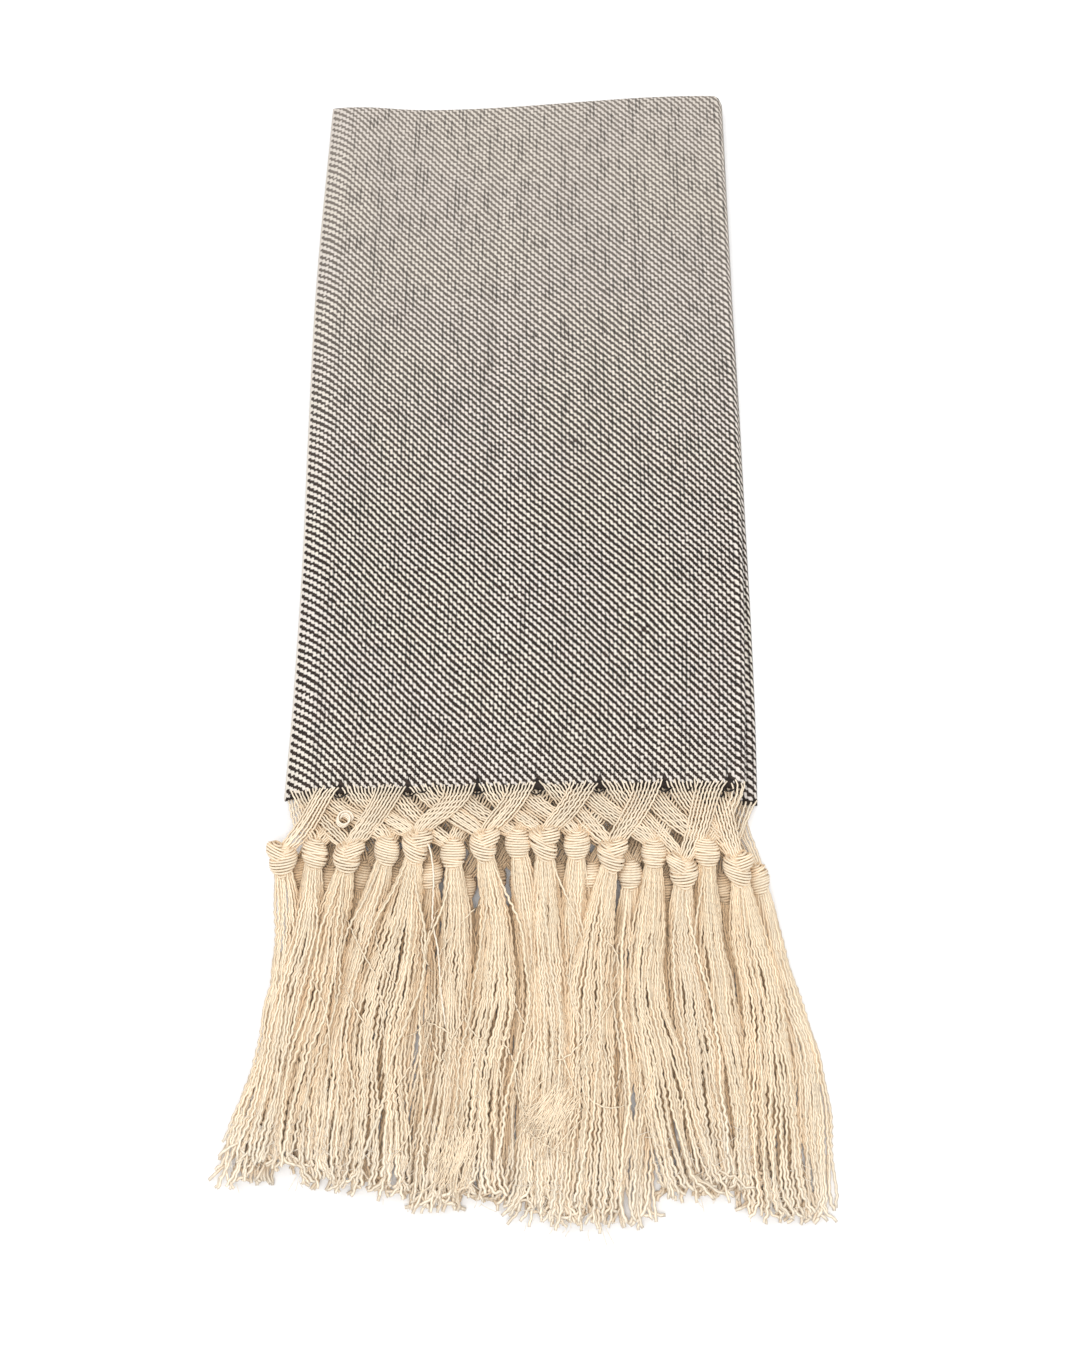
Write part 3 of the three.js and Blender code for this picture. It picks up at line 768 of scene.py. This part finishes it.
def make_loose_yarns(material, relief):
    """Patches of combed-out yarn and single yarns that lie on the fringe."""
    yarns = Yarns(TASSEL_SIDES)
    for patch in rows_of(LOOSE):
        own = (int(patch["count"]), 1)
        way = np.linspace(-0.5, 0.5, LOOSE_POINTS if patch["swing"] else FIBRE_POINTS)[None]
        turn = patch["turn"] + chance.normal(0, patch["uneven"], own)
        turn = np.radians(turn + chance.normal(0, LOOSE_BEND, own) * way)
        run = patch["length"] * chance.uniform(0.6, 1.4, own) * way
        across, along = (np.clip(chance.normal(0, 0.5, own), -1, 1) for _ in range(2))
        x = patch["x"] + patch["half_width"] * across + run * np.sin(turn)
        y = patch["y"] + patch["half_length"] * along - run * np.cos(turn)
        paths = stacked(x, y, 0 * x)
        top = relief.top(paths)
        paths[..., 2] = mix(top, top.mean(axis=1, keepdims=True), 0.5) + chance.uniform(0, 0.3, own)
        paths[..., 2] = np.maximum(paths[..., 2], LOWEST_YARN)
        paths = crimped(paths, patch["swing"], chance.uniform(0, TURN, own))
        radius = patch["radius"] * np.cos(math.pi * way * 0.8)
        tone = LOOSE_TONE if patch["swing"] else COMBED_TONE
        yarns.add(paths, radius, chance.normal(*tone, own), LOOSE_WHITENESS)
    return yarns.piece("fringe_upper_loose_yarns", material, "fringe_upper", "natural_yarn", relief)


def wrap(centre, lean, ball, wide, high, stations):
    """Strands side by side round a ball: tilted loops whose fronts sag towards the tassel."""
    own = (int(ball["strands"]), 1)
    angle = np.linspace(0, TURN, stations)[None]
    place = np.linspace(-1, 1, own[0])[:, None]
    round_off = np.sqrt(1 - (BALL_ROUND * place) ** 2)
    x = wide * round_off * np.cos(angle)
    tilt = ball["tilt"] + chance.normal(0, STRAND_TILT_SCATTER, own)
    y = ball["half"] * place + np.tan(tilt) * x - ball["sag"] * np.sin(angle)
    z = (high * round_off + chance.normal(0, STRAND_RISE_SCATTER, own)) * np.sin(angle)
    x, y, z = x + ball["side"], y + ball["ahead"], z + ball["up"]
    cos, sin = math.cos(lean), math.sin(lean)
    turned = stacked(x * cos - y * sin, x * sin + y * cos, z)
    outward = stacked(np.cos(angle), 0 * place, np.sin(angle))
    return centre + turned, outward


def knot_wraps(pack, row):
    """An overhand knot: a ball of strands, on the top ply with a second lobe folded over it."""
    centre = knot_centre(pack, row)
    lean = math.atan2(row["lean_x"] - row["x"], row["y"] - LEAN_TO_Y) * KNOT_LEANS
    wide = (KNOT_HALF_WIDTH - KNOT_YARN) * chance.normal(1, KNOT_SCATTER)
    high = KNOT_HALF_HEIGHT - KNOT_YARN
    stations = FINENESS[pack]["wrap"]
    tilt = chance.uniform(-KNOT_TILT, KNOT_TILT)
    if pack == "lower" or row["hem"] > FOLDED_WIDTH:
        ball = dict(SINGLE_BALL, tilt=tilt, sag=chance.uniform(*KNOT_SAG))
        return [wrap(centre, lean, ball, wide * SINGLE_WIDTH, high, stations)]
    turn = chance.choice([-1, 1], p=[0.25, 0.75])
    wraps = []
    for lobe, width in zip(LOBES, (wide, SECOND_LOBE_WIDTH)):
        ball = dict(lobe, side=lobe["side"] * turn, tilt=tilt + lobe["tilt"] * turn)
        wraps.append(wrap(centre, lean, ball, width, high, stations))
    return wraps


def knot_core(pack, row):
    """What a knot is wound round: the strands inside it, as a few thick ones."""
    wide, high = KNOT_HALF_WIDTH - CORE_DEPTH, KNOT_HALF_HEIGHT - CORE_DEPTH
    return wrap(knot_centre(pack, row), 0, CORE_BALL, wide, high, CORE_POINTS)


def stray_paths():
    """The long loose yarn, and the curl of ends between two knots."""
    way = np.linspace(0, 1, STRAY_POINTS)
    yarn = stacked(*(read(STRAY_YARN, axis, way) for axis in "xyz"))[None]
    turn = np.linspace(0, TURN * CURL_TURNS, CURL_POINTS)
    radius = np.linspace(*CURL_RADII, CURL_POINTS)
    curl = stacked(radius * np.cos(turn), radius * np.sin(turn), CURL_RISE * turn)
    ends = np.array(CURL_ENDS)[:, None, None] * CURL_END_STEP
    return crimped(yarn, 0.1, 0.0), CURL_PLACE + curl + ends


def comb_yarns(pack, rows):
    """Yarns for each piece of a comb, by the piece's name."""
    fineness = FINENESS[pack]
    sides = KNOT_SIDES if pack == "upper" else TASSEL_SIDES
    crossings, knots = Yarns(sides), Yarns(sides)
    tassels = {}
    for row, under, over in half_bundles(rows):
        taken = 0
        for half, on_top in ((under, False), (over, True)):
            paths = crossing_paths(pack, row, half, on_top)
            if paths is None:
                continue
            share = np.linspace(0, 1, paths.shape[1])
            tone = chance.normal(*BAND_TONE, (len(paths), 1))
            radius = BAND_YARN * np.interp(share, *BAND_RADIUS)
            crossings.add(paths, radius, tone, np.interp(share, *BAND_WHITENESS))
            taken += len(paths) * TASSEL_YARNS
        ply = "outer" if row["hem"] <= FOLDED_WIDTH else "inner"
        flank = "left" if row["x"] < 0 else "right"
        finest = pack == "lower" and row["hem"] in OPEN_LOWER_TASSELS
        paths = tassel_paths(pack, row, taken, FINENESS["upper"][ply] if finest else fineness[ply])
        share = np.linspace(0, 1, paths.shape[1])
        white = np.interp(share, *TASSEL_WHITENESS) + chance.uniform(0, WHITER)
        thick = chance.normal(1, THICKNESS_SCATTER, (taken, 1)) * np.interp(share, *TASSEL_RADIUS)
        if pack == "lower":
            thick = thick * LOWER_YARN
        tassel = tassels.setdefault(f"{ply}_{flank}_tassels", Yarns(TASSEL_SIDES))
        tassel.add(paths, LOOSE_YARN * thick, chance.normal(*TASSEL_TONE, (taken, 1)), white)
        if pack == "upper":
            tassel.add(fibres(paths[:, [-6, -14]].reshape(-1, 3)), FIBRE, 1.0, FIBRE_WHITENESS)
        for wraps, normals in knot_wraps(pack, row):
            tone = chance.normal(*KNOT_TONE, (len(wraps), 1))
            knots.add(wraps, KNOT_YARN, tone, KNOT_WHITENESS, normals)
        core, normals = knot_core(pack, row)
        knots.add(core, CORE_YARN, KNOT_TONE[0], KNOT_WHITENESS, normals)
    if pack == "upper":
        for paths in stray_paths():
            crossings.add(paths, STRAY_RADIUS, 1.0, STRAY_WHITENESS)
    return {"crossings": crossings, "knots": knots, **tassels}


def make_loose_wefts(material):
    """Bits of dark weft that have slipped out of the hem: one under each gap, and some strays."""
    wefts = Yarns(KNOT_SIDES)
    share = np.linspace(0, 1, WEFT_POINTS)
    gaps = [(gap, *GAP_WEFT) for gap in UPPER_TASSELS["hem"] if FIRST_GAP < gap < FOLDED_WIDTH]
    for place, half, sag in gaps + list(STRAY_WEFTS):
        along = place + half * (2 * share - 1) + chance.normal(0, 0.5)
        below = HEM_TO_WEFT + sag * np.sin(math.pi * share) * chance.uniform(0.8, 1.1)
        path = np.stack([hem_points("upper", a, b) for a, b in zip(along, below)])
        path[:, 2] += WEFT_LIFT * np.sin(math.pi * share) ** 0.5
        wefts.add(path[None], WEFT_RADIUS, 1.0, 0.0)
    points = np.concatenate(wefts.points)
    thread = np.tile([WEFT_PLACE, 0.0, 1.0], (len(points), 1))
    faces = [np.concatenate(wefts.faces), np.concatenate(wefts.caps)]
    return build("loose_wefts", points, faces, material, "cloth", {"thread": thread})


def make_fringe(material):
    combs = {pack: comb_yarns(pack, rows) for pack, rows in
             (("upper", UPPER_TASSELS), ("lower", LOWER_TASSELS))}
    relief = Relief(np.concatenate([
        points for comb in combs.values() for yarns in comb.values() for points in yarns.points]))
    pieces = [
        yarns.piece(f"fringe_{pack}_{part}", material, f"fringe_{pack}", "natural_yarn", relief)
        for pack, comb in combs.items() for part, yarns in comb.items()
    ]
    return [make_loose_yarns(material, relief), *pieces]


# ------------ materials

def feed(inputs, values):
    """Give inputs, by place or name, a field, another node's output or a constant."""
    for key, value in values.items():
        if isinstance(value, Field):
            value = value.socket
        if isinstance(value, bpy.types.NodeSocket):
            inputs[key].id_data.links.new(value, inputs[key])
        else:
            inputs[key].default_value = value


def new_node(beside, kind, inputs=(), **settings):
    """A node in the same material as a node or socket."""
    node = beside.id_data.nodes.new("ShaderNode" + kind)
    for name, value in settings.items():
        setattr(node, name, value)
    feed(node.inputs, dict(inputs))
    return node


def operation(name):
    return lambda field, *others: field.math(name, *others)


class Field:
    """A number that a material works out at each point. Arithmetic on it adds Math nodes."""

    def __init__(self, socket):
        self.socket = socket

    def math(self, name, *others):
        inputs = enumerate((self, *others))
        return Field(new_node(self.socket, "Math", inputs, operation=name).outputs[0])

    __add__, __sub__, __mul__ = operation("ADD"), operation("SUBTRACT"), operation("MULTIPLY")
    __truediv__, __mod__ = operation("DIVIDE"), operation("FLOORED_MODULO")
    floor, cos, absolute = operation("FLOOR"), operation("COSINE"), operation("ABSOLUTE")
    power, at_least, at_most = operation("POWER"), operation("MAXIMUM"), operation("MINIMUM")

    def ramp(self, low, high, to_low=0, to_high=1):
        inputs = enumerate((self, low, high, to_low, to_high))
        node = new_node(self.socket, "MapRange", inputs, interpolation_type="SMOOTHSTEP")
        return Field(node.outputs["Result"])


def new_material(name):
    """A material and its Principled shader."""
    material = bpy.data.materials.new(name)
    material.use_nodes = True
    return material, material.node_tree.nodes["Principled BSDF"]


def parts_of(place):
    return [Field(part) for part in new_node(place, "SeparateXYZ", {0: place}).outputs]


def attribute(surface, name):
    return new_node(surface, "Attribute", attribute_name=name).outputs["Vector"]


def object_place(surface):
    return new_node(surface, "TexCoord").outputs["Object"]


def vector(*parts):
    beside = next(part.socket for part in parts if isinstance(part, Field))
    return new_node(beside, "CombineXYZ", enumerate(parts)).outputs[0]


def noise(place, scale=1, detail=2):
    inputs = {"Scale": scale, "Detail": detail, "Vector": place}
    return Field(new_node(place, "TexNoise", inputs).outputs[0])


def white_noise(*parts):
    place = vector(*parts)
    return Field(new_node(place, "TexWhiteNoise", {"Vector": place}).outputs["Value"])


def mix_colours(share, *colours):
    a, b = ((*colour, 1) if isinstance(colour, tuple) else colour for colour in colours)
    return new_node(share.socket, "Mix", {0: share, 6: a, 7: b}, data_type="RGBA").outputs[2]


def shade(colour, factor):
    """The colour times a number."""
    inputs = {0: colour, "Scale": factor}
    return new_node(colour, "VectorMath", inputs, operation="SCALE").outputs[0]


def make_cotton(surface, colour, roughness, specular, sheen, height, distance, strength):
    """Finish a material: sheen is its weight and roughness, the rest goes to the bump."""
    inputs = {"Distance": distance, "Strength": strength, "Height": height}
    feed(surface.inputs, {
        "Base Color": colour, "Roughness": roughness, "Specular IOR Level": specular,
        "Sheen Weight": sheen[0], "Sheen Roughness": sheen[1],
        "Normal": new_node(surface, "Bump", inputs).outputs[0],
    })


THREAD_PITCH = 0.9
FLOAT_LEAN = 0.3  # of the pitch: the warp floats lean along the twill line
SELVEDGE_PULL = 13  # the weft is drawn up over this much of the cloth beside the selvedge
WARP_COLOUR, WARP_SHADOW = (0.872, 0.808, 0.714), (0.768, 0.70, 0.616)
ROSY_WARP_COLOUR = (0.84, 0.77, 0.73)
WEFT_COLOUR, WEFT_FUZZ = (0.022, 0.013, 0.009), (0.042, 0.027, 0.02)
# The next colour is the mid-tone of the painted sheen and haze towards the crosswise fold.
PAINTED_HAZE_COLOUR = (0.50, 0.44, 0.38)
# SHADED_YARN_COLOUR is painted shade: the warm colour of yarn that lies deep or turns its flank away.
YARN_COLOUR, SHADED_YARN_COLOUR = (0.905, 0.787, 0.59), (0.93, 0.642, 0.37)
CUT_YARN_COLOUR = (0.95, 0.88, 0.76)
FLOOR_COLOURS = (0.95, 0.95, 0.95), (0.97, 0.97, 0.97)
GAP_SLOPE, GAP_EDGE = 0.42, (3, 2.4)
PAIR_STEP = 0.35  # in twill steps, from the middle of a pair of warp ends to its edges
# A thread's level, how much the weave lifts it and how much it falls to its sides.
WARP_BASE, WARP_RISE, WARP_ROUND = 0.72, 0.5, 0.05
WEFT_BASE, WEFT_RISE, WEFT_ROUND = 0.44, 0.3, 0.15
ON_TOP = (-0.1, 0.1)  # the warp comes to hide the weft as it gets this much higher
STREAK_DARKENS, PAIR_DARKENS = 0.48, 0.7
PLY_LENGTH = 2.2  # a full turn of a yarn's twist


def near_a_gap(u, from_hem):
    """1 in the triangles that the hem's gaps open in the warp, 0 elsewhere."""
    nearest, *others = ((u - gap).absolute() for gap in UPPER_TASSELS["hem"][1:])
    for away in others:
        nearest = nearest.at_most(away)
    return (nearest + from_hem * GAP_SLOPE).ramp(*GAP_EDGE)


def twill_material():
    """A 2/2 twill of cream warp along the cloth and dark weft across it."""
    material, surface = new_material("twill_cotton")
    place = attribute(surface, "thread")
    u, v, _ = parts_of(place)
    from_hem = v.at_most(v * -1 + CLOTH_LENGTH)
    drift = noise(place, 0.035, 2)
    selvedge = (u * -1 + SELVEDGE_PULL).at_least(0).power(2) / (2 * SELVEDGE_PULL)
    selvedge = selvedge * from_hem.ramp(0, HALF_LENGTH, 0.35, 0.72)
    straight = u / THREAD_PITCH
    b = (v + (drift - 0.5) * 3 + selvedge) / THREAD_PITCH
    a = straight + ((straight + b - 2.5) * QUARTER).cos() * FLOAT_LEAN
    warp, weft = a.floor(), b.floor()
    pair = a / 2  # the warp ends lie in pairs
    warp_cross, weft_cross, pair_cross = ((way % 1) * 2 - 1 for way in (a, b, pair))
    uneven = (white_noise(warp, 7, 0) - 0.5) * 0.3
    loose = noise(vector(warp * 3.3, v * 0.25, 0), 1, 0) - 0.5
    pair_place = pair.floor() * 2 + pair_cross * PAIR_STEP + 0.5
    warp_level = (((pair_place + b + uneven + loose) % 4 - 1) * QUARTER).cos()
    weft_level = (((weft + a + loose) % 4 - 1) * QUARTER).cos() * -1
    between_pairs = pair_cross.power(4) * u.ramp(2, 16, 0.1, 0.65)
    neighbours = (pair + 0.5).floor()  # one number on both sides of the line between two pairs
    streak = noise(vector(neighbours * 5.1, v * 0.07, 0), 1, 0).ramp(0.56, 0.66)
    streak = streak * pair_cross.absolute().ramp(0.3, 0.8) * u.ramp(6, 16)
    slub = noise(vector(u * 0.12, weft * 3.7, 0), 1, 1).ramp(0.66, 0.8, 0, 0.7)
    warp_height = warp_level * WARP_RISE - warp_cross.power(2) * WARP_ROUND
    warp_height = warp_height - between_pairs * 0.35 + WARP_BASE
    warp_height = warp_height + from_hem.ramp(120, HALF_LENGTH, 0, 0.08)
    weft_height = weft_level * WEFT_RISE - weft_cross.power(2) * WEFT_ROUND + WEFT_BASE + slub
    drawn_open = near_a_gap(u, from_hem).at_least(from_hem.ramp(2.4, 1.4) * u.ramp(1.5, 3.5))
    warp_height = warp_height - drawn_open * 2
    warp_height = warp_height + u.ramp(1, 0.4, 0, 0.6)
    on_top = (warp_height - weft_height).ramp(*ON_TOP)
    height = warp_height.at_least(weft_height)
    warp_bright = white_noise(warp, 0, 0) * 0.12 + 0.9
    # Painted shade in the grooves between pairs of warp ends.
    warp_bright = warp_bright * (between_pairs * -PAIR_DARKENS + 1)
    weft_bright = white_noise(0, weft, 0) * 0.8 + 0.6
    blotch = noise(place, 0.018, 1).ramp(0.38, 0.62)
    cream = mix_colours(blotch, WARP_COLOUR, ROSY_WARP_COLOUR)
    cream = mix_colours(noise(place, 0.4), cream, WARP_SHADOW)
    cream = shade(cream, warp_bright)
    dark = mix_colours(noise(place, 0.9), WEFT_COLOUR, WEFT_FUZZ)
    dark = shade(dark, weft_bright)
    woven = mix_colours(on_top, dark, cream)
    # Painted shade: the weave is darker in its hollows, where the threads lie low.
    woven = shade(woven, height.ramp(0.15, 0.85, 0.45, 1))
    # Painted sheen and haze: towards the crosswise fold the cloth is mixed towards a mid-tone, lighter
    # and with less contrast.
    painted_haze = from_hem.ramp(100, HALF_LENGTH, 0, 0.38)
    woven = mix_colours(painted_haze, woven, PAINTED_HAZE_COLOUR)
    woven = shade(woven, streak * -STREAK_DARKENS + 1)
    make_cotton(surface, woven, 0.75, 0.3, (0.08, 0.5), height, 0.0004, 0.4)
    return material


def yarn_material():
    """Undyed cotton yarn of two plies: creamy, whiter where it is freshly cut or untwisted."""
    material, surface = new_material("natural_cotton_yarn")
    tone, whiteness, depth = parts_of(attribute(surface, "look"))
    around, along, _ = parts_of(new_node(surface, "UVMap", uv_map="strand").outputs[0])
    blotch = noise(object_place(surface), 160, 2)
    # Painted shade: a yarn's flanks, and yarns lying deep in the fringe, take the warm shaded colour;
    # whiter yarn takes less of it.
    flank = ((around - TOP_FACE / 2).absolute() / (TOP_FACE / 2)).at_most(1).power(2)
    lying_low = depth.at_least(0).power(0.7) * 0.22
    shaded = (lying_low + flank * 0.68).at_most(1) * (whiteness * -0.7 + 1)
    base = mix_colours(whiteness, YARN_COLOUR, CUT_YARN_COLOUR)
    base = mix_colours(shaded, base, SHADED_YARN_COLOUR)
    ply = ((around / TOP_FACE - along / PLY_LENGTH + tone * 37) * TURN).cos()
    tone = tone * blotch.ramp(0.3, 0.7, 0.95, 1.03) * ply.ramp(-1, 1, 0.975, 1)
    # Painted shade and highlight: darker where a yarn lies low or turns its flank, lighter along its
    # top.
    tone = tone * (lying_low * -0.04 + 1.02) * (flank * -0.25 + 1.07)
    colour = shade(base, tone)
    make_cotton(surface, colour, 0.85, 0.25, (0.2, 0.6), ply, 0.0001, 0.3)
    return material


def floor_material():
    material, surface = new_material("pale_floor")
    colour = mix_colours(noise(object_place(surface), 3, 3), *FLOOR_COLOURS)
    feed(surface.inputs, {
        "Base Color": colour, "Roughness": 0.9, "Specular IOR Level": 0.1,
    })
    return material


# ------------ stage, light and camera

CAMERA_PLACE = (11.85, -95.1, 517.6)
CAMERA_TILT, CAMERA_TURN = math.radians(16.1), math.radians(0.7)
CAMERA_LENS = 32.0
FLOOR_SIZE = 8000.0
ROOM_LIGHT = 0.66

# name, place, the point it shines at, width, power in watts
LIGHTS = (
    ("key", (-500, 500, 1300), (0, 100, 0), 900, 3.4),
    ("window", (0, 1300, 900), (0, 200, 0), 1200, 4.2),
    ("front", (0, -250, 1100), (0, 50, 0), 500, 5.6),
)


def place_of(point):
    return Vector(np.array(point) * MM + TOWEL_ORIGIN)


def make_stage():
    mesh = bpy.data.meshes.new("floor")
    half = FLOOR_SIZE * MM / 2
    corners = [(-half, -half, 0), (half, -half, 0), (half, half, 0), (-half, half, 0)]
    mesh.from_pydata(corners, [], [(0, 1, 2, 3)])
    mesh.materials.append(floor_material())
    put("floor", mesh)
    for name, place, aim, width, power in LIGHTS:
        light = bpy.data.lights.new(name, "AREA")
        light.size = width * MM
        light.energy = power
        lamp = put(name, light)
        lamp.location = place_of(place)
        lamp.rotation_euler = (place_of(aim) - lamp.location).to_track_quat("-Z", "Y").to_euler()
    world = bpy.data.worlds.new("soft_room")
    world.use_nodes = True
    background = world.node_tree.nodes["Background"]
    feed(background.inputs, {"Color": (1, 1, 1, 1), "Strength": ROOM_LIGHT})
    bpy.context.scene.world = world
    bpy.context.scene.view_settings.view_transform = "Standard"


def make_camera():
    camera = put("camera", bpy.data.cameras.new("camera"))
    camera.data.lens = CAMERA_LENS
    camera.data.clip_start, camera.data.clip_end = 0.01, 50
    camera.location = place_of(CAMERA_PLACE)
    camera.rotation_euler = (CAMERA_TILT, 0, CAMERA_TURN)
    bpy.context.scene.camera = camera


# ------------ the towel

twill = twill_material()
yarn = yarn_material()
cloth = make_cloth(twill)
fringe = [make_loose_wefts(twill), *make_fringe(yarn)]
make_stage()
make_camera()

bpy.context.view_layer.update()
